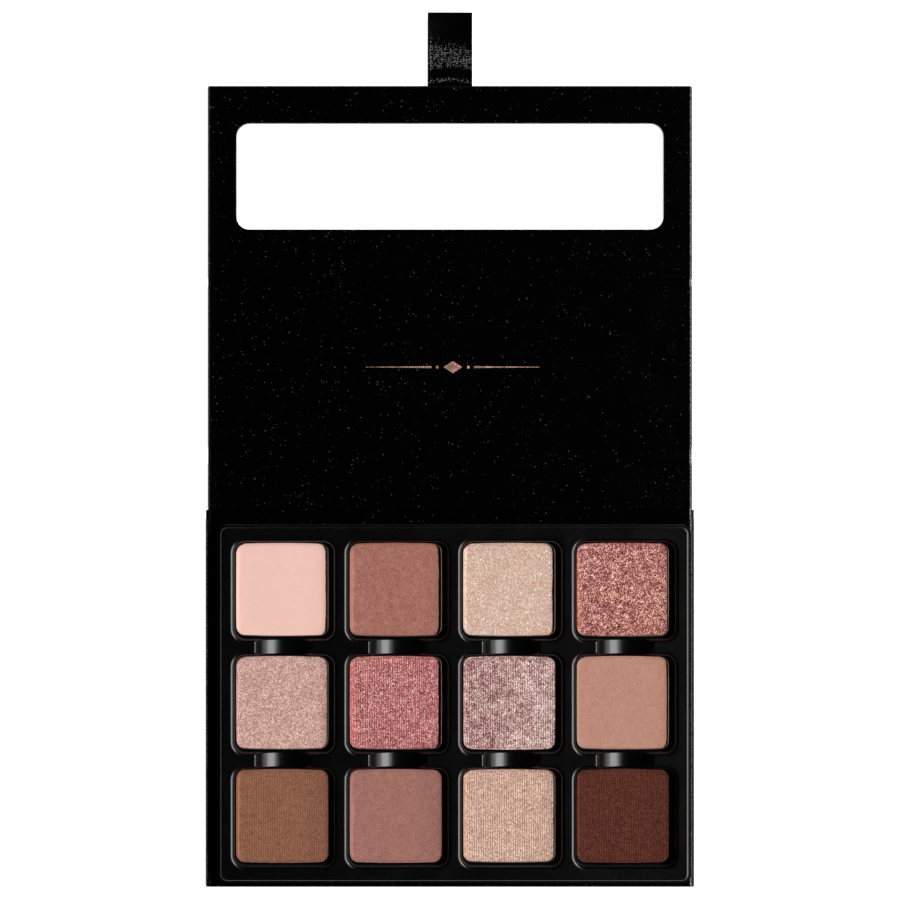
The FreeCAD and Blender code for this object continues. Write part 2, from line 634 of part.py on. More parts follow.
def check(pieces):
    """Stop before writing anything if an object failed or a piece has no sound solid."""
    doc.recompute()
    for item in doc.Objects:
        if "Invalid" in item.State or "Error" in item.State:
            raise RuntimeError(f"{item.Label} failed: {item.State}")
    for piece in pieces:
        if piece.Shape.isNull() or not piece.Shape.isValid():
            raise RuntimeError(f"{piece.Label} has no valid shape")


spine_length = sizes(f"{SPINE_SPAN} - 2 * @fold_slack")
slack = sizes("@fold_slack")
pieces = panel("base", BASE_WIDTH, BASE_DEPTH, "0", None, REAR_GAP, (-1,))
pieces += filled_tray()
pieces += panel("spine", LID_WIDTH, spine_length, sizes(f"({REAR_FOLD} + {TOP_FOLD}) / 2"), slack, slack, ())
pieces += panel("lid", LID_WIDTH, sizes("@lid_length"), sizes(f"({LID_START} + {LID_END}) / 2"),
                sizes("@top_gap"), sizes("@flap_gap / 2"), ())
pieces += window_flap()
check(pieces)

os.makedirs("parts", exist_ok=True)
for piece in pieces:
    piece.Shape.exportStep(f"parts/{piece.Label}.step")
    print(f"{piece.Label}: {len(piece.Shape.Solids)} solid, {piece.Shape.Volume:.1f} mm3")
for name, fold in (("rear", REAR_FOLD), ("top", TOP_FOLD), ("flap", FLAP_FOLD), ("free edge", FREE_EDGE)):
    print(f"{name}: y = {number(fold):.3f}")
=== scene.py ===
import json
import math

import bmesh
import bpy
import numpy as np
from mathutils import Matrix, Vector


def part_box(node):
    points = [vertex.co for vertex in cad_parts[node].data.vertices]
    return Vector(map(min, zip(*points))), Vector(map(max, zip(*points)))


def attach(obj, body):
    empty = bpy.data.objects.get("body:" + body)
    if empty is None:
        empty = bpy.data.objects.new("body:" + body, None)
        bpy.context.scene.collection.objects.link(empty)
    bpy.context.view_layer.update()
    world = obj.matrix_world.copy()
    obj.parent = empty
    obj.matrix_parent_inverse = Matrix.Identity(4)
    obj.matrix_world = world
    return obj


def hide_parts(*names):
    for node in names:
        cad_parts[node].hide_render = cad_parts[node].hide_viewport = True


# Looks of the open eyeshadow palette. Metres, in the frame of the solids: +Y from the base to the
# open lid, +Z up, the origin in the middle of the base panel's underside.

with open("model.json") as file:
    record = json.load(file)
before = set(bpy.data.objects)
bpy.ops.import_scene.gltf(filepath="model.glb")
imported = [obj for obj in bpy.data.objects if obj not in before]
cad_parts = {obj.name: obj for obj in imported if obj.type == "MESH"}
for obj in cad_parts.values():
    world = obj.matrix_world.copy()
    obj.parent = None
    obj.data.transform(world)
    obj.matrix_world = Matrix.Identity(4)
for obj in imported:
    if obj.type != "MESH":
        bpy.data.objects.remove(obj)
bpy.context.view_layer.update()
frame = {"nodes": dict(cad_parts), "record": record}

MM = 0.001
COLUMNS = 4
ROWS = 3
SPOTS = [f"r{row + 1}c{column + 1}" for row in range(ROWS) for column in range(COLUMNS)]


def srgb(red, green, blue):
    """A screen colour, 0 to 255, as linear light."""
    def linear(value):
        value /= 255.0
        return value / 12.92 if value <= 0.04045 else ((value + 0.055) / 1.055) ** 2.4
    return (linear(red), linear(green), linear(blue), 1.0)


class Graph:
    """A material's nodes, with short ways to add and link them."""

    def __init__(self, name):
        self.material = bpy.data.materials.new(name)
        self.material.use_nodes = True
        self.tree = self.material.node_tree
        self.shader = self.tree.nodes["Principled BSDF"]
        coordinates = self.add("ShaderNodeTexCoord")
        self.place = coordinates.outputs["Object"]
        self.facing = coordinates.outputs["Normal"]

    def add(self, kind, inputs=None, **settings):
        """A new node with its settings, and its inputs linked or set."""
        node = self.tree.nodes.new(kind)
        for name, value in settings.items():
            setattr(node, name, value)
        for key, value in (inputs or {}).items():
            self.feed(node.inputs[key], value)
        return node

    def feed(self, socket, value):
        """Link another node's output to a socket, or set a plain value on it."""
        if isinstance(value, bpy.types.NodeSocket):
            self.tree.links.new(value, socket)
        else:
            socket.default_value = value

    def finish(self, **inputs):
        """Feed the surface shader and return the material."""
        for name, value in inputs.items():
            self.feed(self.shader.inputs[name.replace("_", " ").title().replace("Ior", "IOR")], value)
        return self.material

    def math(self, operation, first, second=0.0):
        return self.add("ShaderNodeMath", {0: first, 1: second}, operation=operation).outputs[0]

    def spread(self, value, low, high, to_low=0.0, to_high=1.0):
        """Carry a value from one range to another."""
        inputs = {"Value": value, "From Min": low, "From Max": high, "To Min": to_low, "To Max": to_high}
        return self.add("ShaderNodeMapRange", inputs).outputs["Result"]

    def mix(self, share, first, second, blend="MIX"):
        """A colour between two colours, or the first one tinted by the second."""
        inputs = {0: share, 6: first, 7: second}
        return self.add("ShaderNodeMix", inputs, data_type="RGBA", blend_type=blend).outputs[2]

    def stretched(self, across, along, up=1.0):
        """Places with each axis scaled, for streaks and threads."""
        return self.add("ShaderNodeVectorMath", {0: self.place, 1: (across, along, up)},
                        operation="MULTIPLY").outputs[0]

    def noise(self, size, detail=3.0, place=None):
        """Cloudy values with features about as large as size."""
        inputs = {"Vector": place or self.place, "Scale": 1.0 / size, "Detail": detail}
        return self.add("ShaderNodeTexNoise", inputs).outputs["Fac"]

    def cells(self, size, feature="F1", place=None, randomness=1.0):
        """Random cells about as large as size."""
        inputs = {"Vector": place or self.place, "Scale": 1.0 / size, "Randomness": randomness}
        return self.add("ShaderNodeTexVoronoi", inputs, feature=feature)

    def ramp(self, value, *stops):
        """A colour picked along a row of (place, colour) stops."""
        node = self.add("ShaderNodeValToRGB", {"Fac": value})
        row = node.color_ramp.elements
        while len(row) < len(stops):
            row.new(0.5)
        for element, (place, colour) in zip(row, stops):
            element.position = place
            element.color = colour
        return node.outputs["Color"]

    def upward(self):
        """How squarely the surface faces up or down, from 0 on a wall to 1 on a level face, at rest."""
        parts = self.add("ShaderNodeSeparateXYZ", {0: self.facing})
        return self.math("ABSOLUTE", parts.outputs["Z"])

    def channel(self, colour, index):
        """One of a colour's three numbers."""
        return self.add("ShaderNodeSeparateColor", {"Color": colour}).outputs[index]

    def bump(self, height, depth, strength=1.0, normal=None):
        """The normal of a surface that rises by depth where height is 1, over another normal if given."""
        inputs = {"Height": height, "Distance": depth, "Strength": strength}
        if normal:
            inputs["Normal"] = normal
        return self.add("ShaderNodeBump", inputs).outputs["Normal"]

    def tilted(self, colour, amount, reach=(1.0, 1.0, 1.0), level=(0.5, 0.5, 0.5)):
        """The surface's normal, tipped by each cell's random colour, but not where that equals level."""
        centred = self.add("ShaderNodeVectorMath", {0: colour, 1: level}, operation="SUBTRACT")
        aimed = self.add("ShaderNodeVectorMath", {0: centred.outputs[0], 1: reach}, operation="MULTIPLY")
        tip = self.add("ShaderNodeVectorMath", {0: aimed.outputs[0]}, operation="SCALE")
        self.feed(tip.inputs["Scale"], amount)
        normal = self.add("ShaderNodeNewGeometry").outputs["Normal"]
        total = self.add("ShaderNodeVectorMath", {0: normal, 1: tip.outputs[0]}, operation="ADD")
        return self.add("ShaderNodeVectorMath", {0: total.outputs[0]}, operation="NORMALIZE").outputs[0]


PEBBLE = 0.42 * MM
SPECK = 0.16 * MM
SPECK_RARITY = 0.994
PAPER_GLOSS = 0.035
# The panels' left and right edges are turned softly over this width of the lid, and worn to a polish
TURNED_WIDE = 0.8 * MM
TURNED_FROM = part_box("lid_wrap")[1].x - TURNED_WIDE
TURNED_BEND = 0.5 * MM


def leatherette():
    """Black paper with a fine pebbled grain, a few bright specks in clusters, and edges worn to a polish."""
    g = Graph("leatherette")
    pebbles = g.cells(PEBBLE, "SMOOTH_F1").outputs["Distance"]
    mottle = g.noise(9 * MM, 4.0)
    cluster = g.noise(4 * MM, 2.0)
    specks = g.cells(SPECK)
    luck = g.math("ADD", g.channel(specks.outputs["Color"], 0), g.spread(cluster, 0.35, 0.65, -0.006, 0.006))
    few = g.spread(luck, SPECK_RARITY, SPECK_RARITY + 0.001)
    tips = g.tilted(specks.outputs["Color"], g.math("MULTIPLY", few, 1.2))
    across = g.math("ABSOLUTE", g.add("ShaderNodeSeparateXYZ", {0: g.place}).outputs["X"])
    turned = g.math("MAXIMUM", g.math("DIVIDE", g.math("SUBTRACT", across, TURNED_FROM), MM), 0.0)
    upward = g.upward()
    rounding = g.math("MULTIPLY", g.spread(upward, 0.93, 0.985, 1.0, 0.0), g.spread(upward, 0.75, 0.85))
    strip = g.math("MULTIPLY", g.spread(turned, 0.0, 0.3), g.spread(upward, 0.5, 0.8))
    rubbed = g.spread(g.noise(0.35 * MM, 2.0), 0.4, 0.6, 0.2, 1.0)
    worn = g.math("MULTIPLY", g.math("MAXIMUM", rounding, strip), rubbed)
    polish = g.math("MAXIMUM", few, worn)
    rough = g.math("SUBTRACT", g.spread(mottle, 0.3, 0.7, 0.25, 0.29), g.math("MULTIPLY", polish, 0.1))
    colour = g.mix(few, g.mix(mottle, srgb(0.2, 0.2, 0.2), srgb(0.8, 0.8, 0.8)), srgb(38, 38, 38))
    colour = g.mix(worn, colour, srgb(72, 70, 68))
    g.shader.inputs["Specular IOR Level"].default_value = PAPER_GLOSS
    grain = g.bump(pebbles, 0.012 * MM, 0.5, tips)
    fall = g.math("MULTIPLY", g.math("MULTIPLY", turned, turned), -1.0)
    normal = g.bump(fall, TURNED_BEND, 1.0, grain)
    return g.finish(base_color=colour, metallic=polish, roughness=rough, normal=normal)


def moulded_plastic():
    """Semi-gloss black plastic with a fine sparkle of texture and faint scuffs, matt on its steep walls."""
    g = Graph("moulded_plastic")
    texture = g.noise(0.3 * MM, 2.0)
    haze = g.noise(7 * MM, 5.0)
    scuffs = g.noise(0.5 * MM, 4.0, g.stretched(0.15, 1.0))
    rough = g.math("ADD", g.spread(haze, 0.3, 0.7, 0.19, 0.23), g.spread(scuffs, 0.62, 0.75, 0.0, 0.04))
    rough = g.math("ADD", rough, g.spread(g.upward(), 0.3, 0.7, 0.5, 0.0))
    colour = g.mix(haze, srgb(3, 3, 3), srgb(5, 5, 5))
    return g.finish(base_color=colour, roughness=rough, normal=g.bump(texture, 0.006 * MM, 0.5))


def tinplate():
    """Drawn tin with fine lines from the press, in a warm brownish grey."""
    g = Graph("tinplate")
    lines = g.noise(0.08 * MM, 3.0, g.stretched(1.0, 1.0, 0.06))
    cloud = g.noise(1.5 * MM, 4.0)
    colour = g.mix(cloud, srgb(92, 70, 60), srgb(150, 132, 122))
    rough = g.spread(lines, 0.3, 0.7, 0.3, 0.5)
    return g.finish(base_color=colour, metallic=0.9, roughness=rough, normal=g.bump(lines, 0.008 * MM, 0.5))


def clear_film():
    """Thin clear film: what is behind it shows, and its gloss follows the angle."""
    g = Graph("clear_film")
    wave = g.noise(18 * MM, 2.0)
    normal = g.bump(wave, 0.08 * MM, 0.4)
    clear = g.add("ShaderNodeBsdfTransparent", {"Color": (0.985, 0.99, 0.99, 1.0)})
    rough = g.spread(wave, 0.3, 0.7, 0.02, 0.05)
    gloss = g.add("ShaderNodeBsdfGlossy", {"Roughness": rough, "Normal": normal})
    facing = g.add("ShaderNodeLayerWeight", {"Blend": 0.5, "Normal": normal}).outputs["Facing"]
    mirror = g.spread(g.math("POWER", facing, 5.0), 0.0, 1.0, 0.04, 1.0)
    both = g.add("ShaderNodeMixShader", {0: mirror, 1: clear.outputs[0], 2: gloss.outputs[0]})
    g.tree.links.new(both.outputs[0], g.tree.nodes["Material Output"].inputs["Surface"])
    g.tree.nodes.remove(g.shader)
    return g.material


# Places of the ribbon's threads across it and along it, in mm
THREAD_PITCH = 0.42
THREAD_ROW = 0.5


def satin():
    """Black ribbon: the crests of its threads lie in rows, and glint where the ribbon lies level."""
    g = Graph("satin")
    crests = g.cells(MM, place=g.stretched(1 / THREAD_PITCH, 1 / THREAD_ROW, 0.0), randomness=0.3)
    level = g.add("ShaderNodeAttribute", attribute_name="level").outputs["Fac"]
    cloud = g.noise(5 * MM, 3.0)
    away = g.math("ADD", crests.outputs["Distance"], g.spread(level, 0.0, 1.0, 0.3, 0.0))
    top = g.spread(away, 0.17, 0.36, 1.0, 0.0)
    lean = g.tilted(crests.outputs["Color"], top, (0.34, 0.3, 0.0), (-0.55, 0.5, 0.5))
    # The crests are painted faintly lighter where the ribbon lies level, where they glint: a faint painted
    # sheen.
    colour = g.mix(top, srgb(0.5, 0.5, 0.5), srgb(3, 3, 3))
    rough = g.spread(cloud, 0.35, 0.65, 0.13, 0.18)
    return g.finish(base_color=colour, roughness=rough, normal=lean)


def foil():
    """Rose-coloured hot foil, dulled by the grain that it is pressed into."""
    g = Graph("foil")
    pebbles = g.cells(PEBBLE, "SMOOTH_F1").outputs["Distance"]
    cloud = g.noise(1.5 * MM, 4.0)
    colour = g.mix(cloud, srgb(196, 142, 124), srgb(232, 184, 166))
    rough = g.spread(cloud, 0.3, 0.7, 0.34, 0.5)
    return g.finish(base_color=colour, metallic=1.0, roughness=rough, normal=g.bump(pebbles, 0.06 * MM, 0.9))


def grey_board():
    """Grey card with short fibres."""
    g = Graph("grey_board")
    fibres = g.noise(0.4 * MM, 5.0)
    return g.finish(base_color=g.mix(fibres, srgb(118, 112, 104), srgb(164, 158, 148)), roughness=0.9,
                    normal=g.bump(fibres, 0.05 * MM, 0.5))


def magnetic_rubber():
    """Dull grey sheet with a fine grain."""
    g = Graph("magnetic_rubber")
    grain = g.noise(0.3 * MM, 4.0)
    return g.finish(base_color=g.mix(grain, srgb(38, 36, 35), srgb(60, 57, 55)), roughness=0.7,
                    normal=g.bump(grain, 0.02 * MM, 0.5))


def nickel():
    """Plated metal, a little clouded."""
    g = Graph("nickel")
    cloud = g.noise(1.2 * MM, 4.0)
    return g.finish(base_color=g.mix(cloud, srgb(186, 184, 180), srgb(214, 212, 208)), metallic=1.0,
                    roughness=g.spread(cloud, 0.3, 0.7, 0.22, 0.35), normal=g.bump(cloud, 0.005 * MM, 0.4))


class Shade:
    """One pressed powder: its colours from dark to flash, the colour of its left and back borders (partly
    the border powder's own, partly a painted highlight), and its grain and shape in mm.
    """

    def __init__(self, dark, low, high, flash, edge, grain=0.26, border=0.8, gap=0.0, ribs=0.0, cloud=0.08,
                 thin=0.0, shine=0.0, tints=None, painted_glints=None):
        self.stops = [srgb(*each) for each in (dark, low, high, flash)]
        self.edge = srgb(*edge)
        self.grain = grain * MM
        self.border = border * MM
        self.gap = gap * MM
        self.ribs = ribs * MM
        self.cloud = cloud
        self.thin = thin
        self.shine = shine
        self.tints = [srgb(*each) for each in tints] if tints else None
        self.painted_glints = srgb(*painted_glints) if painted_glints else None


# Pairs of tints that the flakes of a shimmer shade take on
GOLD_LILAC = ((255, 236, 176), (240, 206, 250))
GOLD_PINK = ((255, 236, 214), (255, 204, 236))
CREAM_MAUVE = ((255, 250, 228), (244, 220, 240))
PEACH_TEAL = ((255, 230, 212), (220, 252, 255))
TINT_SHARE = 0.8
# Grain of the shimmer shades, in mm
FLAKE = 0.21
# Spacing of the cells that hold the painted glints
GLINT_PITCH = 0.8 * MM
POWDER_GLOSS = 0.12

SHADES = {
    "r1c1": Shade((237, 194, 180), (240, 197, 183), (241, 198, 184), (243, 201, 187), (254, 230, 222),
                  border=0.4, gap=0.75, cloud=0.05),
    "r1c2": Shade((143, 90, 77), (156, 103, 90), (163, 111, 98), (179, 126, 112), (184, 122, 102),
                  border=1.3, gap=0.85, cloud=0.12),
    "r1c3": Shade((180, 142, 124), (203, 168, 150), (217, 185, 168), (244, 222, 210), (240, 210, 182),
                  FLAKE, border=0.8, gap=0.8, shine=0.3, tints=PEACH_TEAL, painted_glints=(232, 252, 250)),
    "r1c4": Shade((42, 6, 5), (131, 60, 56), (188, 120, 115), (255, 228, 218), (190, 98, 80),
                  FLAKE, border=1.0, gap=0.35, cloud=0.1, shine=0.6, tints=GOLD_LILAC),
    "r2c1": Shade((152, 110, 101), (188, 149, 139), (212, 175, 166), (252, 220, 210), (166, 108, 98),
                  FLAKE, border=0.5, gap=0.4, shine=0.4, tints=CREAM_MAUVE),
    "r2c2": Shade((106, 38, 40), (156, 86, 86), (184, 119, 120), (246, 206, 202), (192, 96, 84),
                  FLAKE, border=1.3, gap=0.9, ribs=0.015, cloud=0.07, shine=0.5, tints=GOLD_PINK,
                  painted_glints=(246, 204, 196)),
    "r2c3": Shade((100, 42, 50), (164, 120, 118), (212, 182, 176), (255, 248, 240), (150, 90, 92),
                  FLAKE, border=0.8, ribs=0.016, cloud=0.17, thin=0.16, shine=0.6, tints=CREAM_MAUVE),
    "r2c4": Shade((171, 122, 104), (178, 130, 113), (183, 135, 117), (190, 141, 124), (198, 146, 127),
                  border=0.4, gap=0.55, cloud=0.12),
    "r3c1": Shade((119, 74, 52), (133, 87, 65), (141, 96, 74), (155, 111, 88), (160, 104, 78),
                  border=1.1, ribs=0.022, cloud=0.08),
    "r3c2": Shade((144, 96, 85), (155, 106, 95), (160, 112, 101), (171, 122, 111), (172, 120, 106),
                  border=0.9, cloud=0.12),
    "r3c3": Shade((146, 108, 92), (184, 149, 133), (207, 174, 157), (248, 222, 204), (184, 128, 98),
                  FLAKE, border=1.0, gap=0.45, ribs=0.022, shine=0.4, tints=CREAM_MAUVE),
    "r3c4": Shade((66, 25, 14), (77, 36, 25), (87, 46, 35), (102, 60, 49), (106, 52, 40),
                  border=0.8, ribs=0.022, cloud=0.08),
}
# Painted shading of the ribs: their crests are painted lighter and their troughs darker, by this much per mm
# of rib height.
RIB_PAINTED_SHADING = 15.5


def pressed_powder(spot, shade):
    """Powder that follows its shade: grains from dark to flash, flakes at all angles, painted glints, ribs
    painted lighter on their crests and darker in their troughs, and a border colour that is partly its own
    and partly a painted highlight.
    """
    g = Graph(f"powder_{spot}")
    bare_and_highlight, rib_and_shading, left = [g.add("ShaderNodeAttribute", attribute_name=name).outputs["Fac"]
                       for name in ("bare_and_highlight", "rib_and_shading", "left")]
    grains = g.cells(shade.grain).outputs["Color"]
    dust = g.noise(0.24 * MM, 2.0)
    cloud = g.noise(2.2 * MM, 3.0)
    pick = g.math("ADD", g.channel(grains, 1), g.spread(cloud, 0.32, 0.68, -shade.cloud, shade.cloud))
    # Painted highlight and painted shade of the ribs: lighter grains on their crests, darker grains in their
    # troughs.
    pick = g.math("ADD", pick, g.math("MULTIPLY", rib_and_shading, RIB_PAINTED_SHADING * shade.ribs / MM))
    pick = g.math("SUBTRACT", pick, g.math("MULTIPLY", left, shade.thin))
    # On the flaked shades the lightest grains near the flash stop stand in for sparkle as well: partly the
    # flakes' own light colour, partly painted glints.
    colour = g.ramp(pick, *zip((0.0, 0.3, 0.7, 0.97), shade.stops))
    metal, tips = 0.0, None
    if shade.tints:
        tint = g.mix(g.spread(g.channel(grains, 2), 0.45, 0.75), *shade.tints)
        colour = g.mix(g.spread(g.channel(grains, 0), 0.3, 0.6, 0.0, TINT_SHARE), colour, tint, "MULTIPLY")
        bright = g.math("MULTIPLY", g.spread(pick, 0.6, 0.9), g.math("SUBTRACT", 1.0, bare_and_highlight))
        metal = g.math("MULTIPLY", bright, 0.4 * shade.shine)
        tips = g.tilted(grains, 0.5 * shade.shine)
    # Painted glints: sparse bright spots painted into the powder's colour, standing in for sparkling flakes.
    if shade.painted_glints:
        glint_cells = g.cells(GLINT_PITCH)
        chosen = g.spread(g.channel(glint_cells.outputs["Color"], 0), 0.72, 0.92)
        core = g.spread(glint_cells.outputs["Distance"], 0.12, 0.4, 1.0, 0.0)
        colour = g.mix(g.math("MULTIPLY", chosen, core), colour, shade.painted_glints)
    # The left and back borders take the edge colour, speckled: partly the loose border powder's own colour,
    # partly a painted highlight along these borders.
    speckle = g.spread(g.channel(grains, 0), 0.0, 1.0, 0.5, 0.95)
    colour = g.mix(g.math("MULTIPLY", g.spread(bare_and_highlight, 0.05, 0.5), speckle), colour, shade.edge)
    rough = g.spread(dust, 0.3, 0.7, 0.85 - 0.4 * shade.shine, 0.95 - 0.4 * shade.shine)
    g.shader.inputs["Specular IOR Level"].default_value = POWDER_GLOSS
    normal = g.bump(dust, 0.02 * MM, 0.5, tips)
    return g.finish(base_color=colour, roughness=rough, metallic=metal, normal=normal)


MATERIALS = {
    "leatherette": leatherette(),
    "tray_plastic": moulded_plastic(),
    "tinplate": tinplate(),
    "clear_film": clear_film(),
    "ribbon": satin(),
    "card": grey_board(),
    "magnetic_rubber": magnetic_rubber(),
    "magnet": nickel(),
}
for spot, shade in SHADES.items():
    MATERIALS[f"shade_{spot}"] = pressed_powder(spot, shade)
FOIL = foil()


def dress_nodes():
    """Give every carried-over solid the material of its slot."""
    for subpart in frame["record"]["subparts"]:
        node = frame["nodes"][subpart["node"]]
        node.data.materials.clear()
        node.data.materials.append(MATERIALS[subpart["material_slot"]])


def new_piece(name, mesh, material, body):
    """An object of the scene that rides on a body."""
    piece = bpy.data.objects.new(name, mesh)
    bpy.context.scene.collection.objects.link(piece)
    mesh.materials.append(material)
    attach(piece, body)
    return piece


def mesh_from(name, points, faces, sharp=()):
    """A smooth mesh with outward faces; sharp lists pairs of points whose edge stays crisp."""
    mesh = bpy.data.meshes.new(name)
    mesh.from_pydata([tuple(point) for point in points], [], faces)
    build = bmesh.new()
    build.from_mesh(mesh)
    bmesh.ops.recalc_face_normals(build, faces=build.faces)
    crisp = {frozenset(pair) for pair in sharp}
    for face in build.faces:
        face.smooth = True
    for edge in build.edges:
        edge.smooth = frozenset(vertex.index for vertex in edge.verts) not in crisp
    build.to_mesh(mesh)
    build.free()
    return mesh


SIDE_BOW = 0.06 * MM
END_BOW = 0.3 * MM
CORNER_TUCK = 0.12 * MM
# The powder's edge lies over the pan's rim, which stands this much lower
LIP_THICK = 0.06 * MM
LIP_PLAY = 0.01 * MM
PAN_HALF = (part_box("pan_r1c1")[1].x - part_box("pan_r1c1")[0].x) / 2
PAN_CORNER = 2.3 * MM
PAN_WALL = 0.3 * MM
PAN_FOOT = 0.6 * MM
FOOT_STEPS = 4
RIM_STEPS = 6


def bowed(x, y):
    """Let the sides of a pan, and the cake in it, bow out a little between the corners."""
    side = SIDE_BOW / PAN_HALF * (1 - (y / PAN_HALF) ** 2)
    end = END_BOW / PAN_HALF * (1 - (x / PAN_HALF) ** 2)
    tuck = 1 - CORNER_TUCK / PAN_HALF
    return (x * (tuck + side), y * (tuck + end))


def rounded_square(half, corner, side_steps=10, corner_steps=8):
    """Points around a square with round corners, counter-clockwise, before the sides bow."""
    points = []
    straight = half - corner
    for quarter in range(4):
        turn = quarter * math.pi / 2
        for step in range(side_steps):
            along = -straight + 2 * straight * step / side_steps
            points.append((half * math.cos(turn) - along * math.sin(turn),
                           half * math.sin(turn) + along * math.cos(turn)))
        for step in range(corner_steps):
            angle = turn + math.pi / 2 * step / corner_steps
            centre = turn + math.pi / 4
            reach = straight * math.sqrt(2)
            points.append((reach * math.cos(centre) + corner * math.cos(angle),
                           reach * math.sin(centre) + corner * math.sin(angle)))
    return points


def pan_piece(spot):
    """Drawn tin pan with a rounded foot and a rounded rim."""
    low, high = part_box(f"pan_{spot}")
    middle = (low + high) / 2
    rim = PAN_WALL / 2
    rim_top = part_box(f"powder_{spot}")[1].z - LIP_THICK - LIP_PLAY
    profile = [(PAN_FOOT, low.z)]
    for step in range(1, FOOT_STEPS + 1):
        angle = math.pi / 2 * step / FOOT_STEPS
        profile.append((PAN_FOOT * (1 - math.sin(angle)), low.z + PAN_FOOT * (1 - math.cos(angle))))
    for step in range(RIM_STEPS + 1):
        angle = math.pi * step / RIM_STEPS
        profile.append((rim - rim * math.cos(angle), rim_top - rim + rim * math.sin(angle)))
    profile.append((PAN_WALL, low.z + PAN_WALL))
    points, faces = [], []
    for inset, height in profile:
        ring = rounded_square(PAN_HALF - inset, PAN_CORNER - inset)
        points += [Vector((*bowed(x, y), 0)) + Vector((middle.x, middle.y, height)) for x, y in ring]
    count = len(ring)
    for level in range(len(profile) - 1):
        for spoke in range(count):
            after = (spoke + 1) % count
            first, second = level * count, (level + 1) * count
            faces.append((first + spoke, first + after, second + after, second + spoke))
    last = (len(profile) - 1) * count
    faces.append(tuple(reversed(range(count))))
    faces.append(tuple(range(last, last + count)))
    crisp = [(last + spoke, last + (spoke + 1) % count) for spoke in range(count)]
    mesh = mesh_from(f"tin_{spot}", points, faces, crisp)
    piece = new_piece(f"tin_{spot}", mesh, MATERIALS["tinplate"], "base")
    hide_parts(f"pan_{spot}")


CAKE_HALF = (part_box("powder_r1c1")[1].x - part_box("powder_r1c1")[0].x) / 2
CAKE_REACH = PAN_HALF - 0.08 * MM
CAKE_CORNER = 2.25 * MM
CAKE_PRESS = 0.4 * MM
CORNER_BORDER = 0.12 * MM
# Widths of the border on the left, right, front and back, as shares of the shade's own
BORDER_SHARES = (1.0, 0.12, 0.1, 0.7)
# A cake that has drawn back at least this far from the pan's right side has no border there
CLEAR_GAP = 0.3 * MM
# Any other cake climbs to the rim on the right, over this run, by this share of its press
CLIMB_RUN = 7 * MM
CLIMB = 0.87
RIB_PITCH = 0.65 * MM
DOT_LENGTH = 0.6 * MM
FINE_STEP = 0.09 * MM
COARSE_STEP = 0.2 * MM
BORDER_ROWS = 12
MIDDLE_ROWS = 80
LATTICE = 64
# The random values of each feature count their seeds on from these, or from nought
CRUMB_SEED, WEAVE_SEED, DOT_SEED, SWELL_SEED = 50, 90, 120, 20
DUST_SEED, LEFT_SEED, WAVE_SEED = 70, 160, 140


def ease(share):
    """A share from 0 to 1 that starts and ends gently."""
    return share * share * (3 - 2 * share)


def wobble(x, y, size, seed):
    """Smooth random values, -1 to 1, for places along x and y."""
    table = np.random.RandomState(seed).uniform(-1, 1, (LATTICE, LATTICE))
    u, v = x / size, y / size
    column, row = np.floor(u).astype(int), np.floor(v).astype(int)
    across, along = ease(u - column), ease(v - row)

    def corner(right, up):
        return table[(column + right) % LATTICE, (row + up) % LATTICE]

    low = corner(0, 0) * (1 - across) + corner(1, 0) * across
    high = corner(0, 1) * (1 - across) + corner(1, 1) * across
    return low * (1 - along) + high * along


def cake_lines(shade):
    """Places of the columns, and shares of the rows, that a cake's surface is woven from."""
    step = FINE_STEP if shade.ribs else COARSE_STEP
    columns = np.linspace(-CAKE_REACH, CAKE_REACH, int(2 * CAKE_REACH / step) + 1)
    edge = 1 - shade.border / CAKE_REACH
    rows = np.concatenate([np.linspace(-1, -edge, BORDER_ROWS)[:-1], np.linspace(-edge, edge, MIDDLE_ROWS),
                           np.linspace(edge, 1, BORDER_ROWS)[1:]])
    return columns, rows


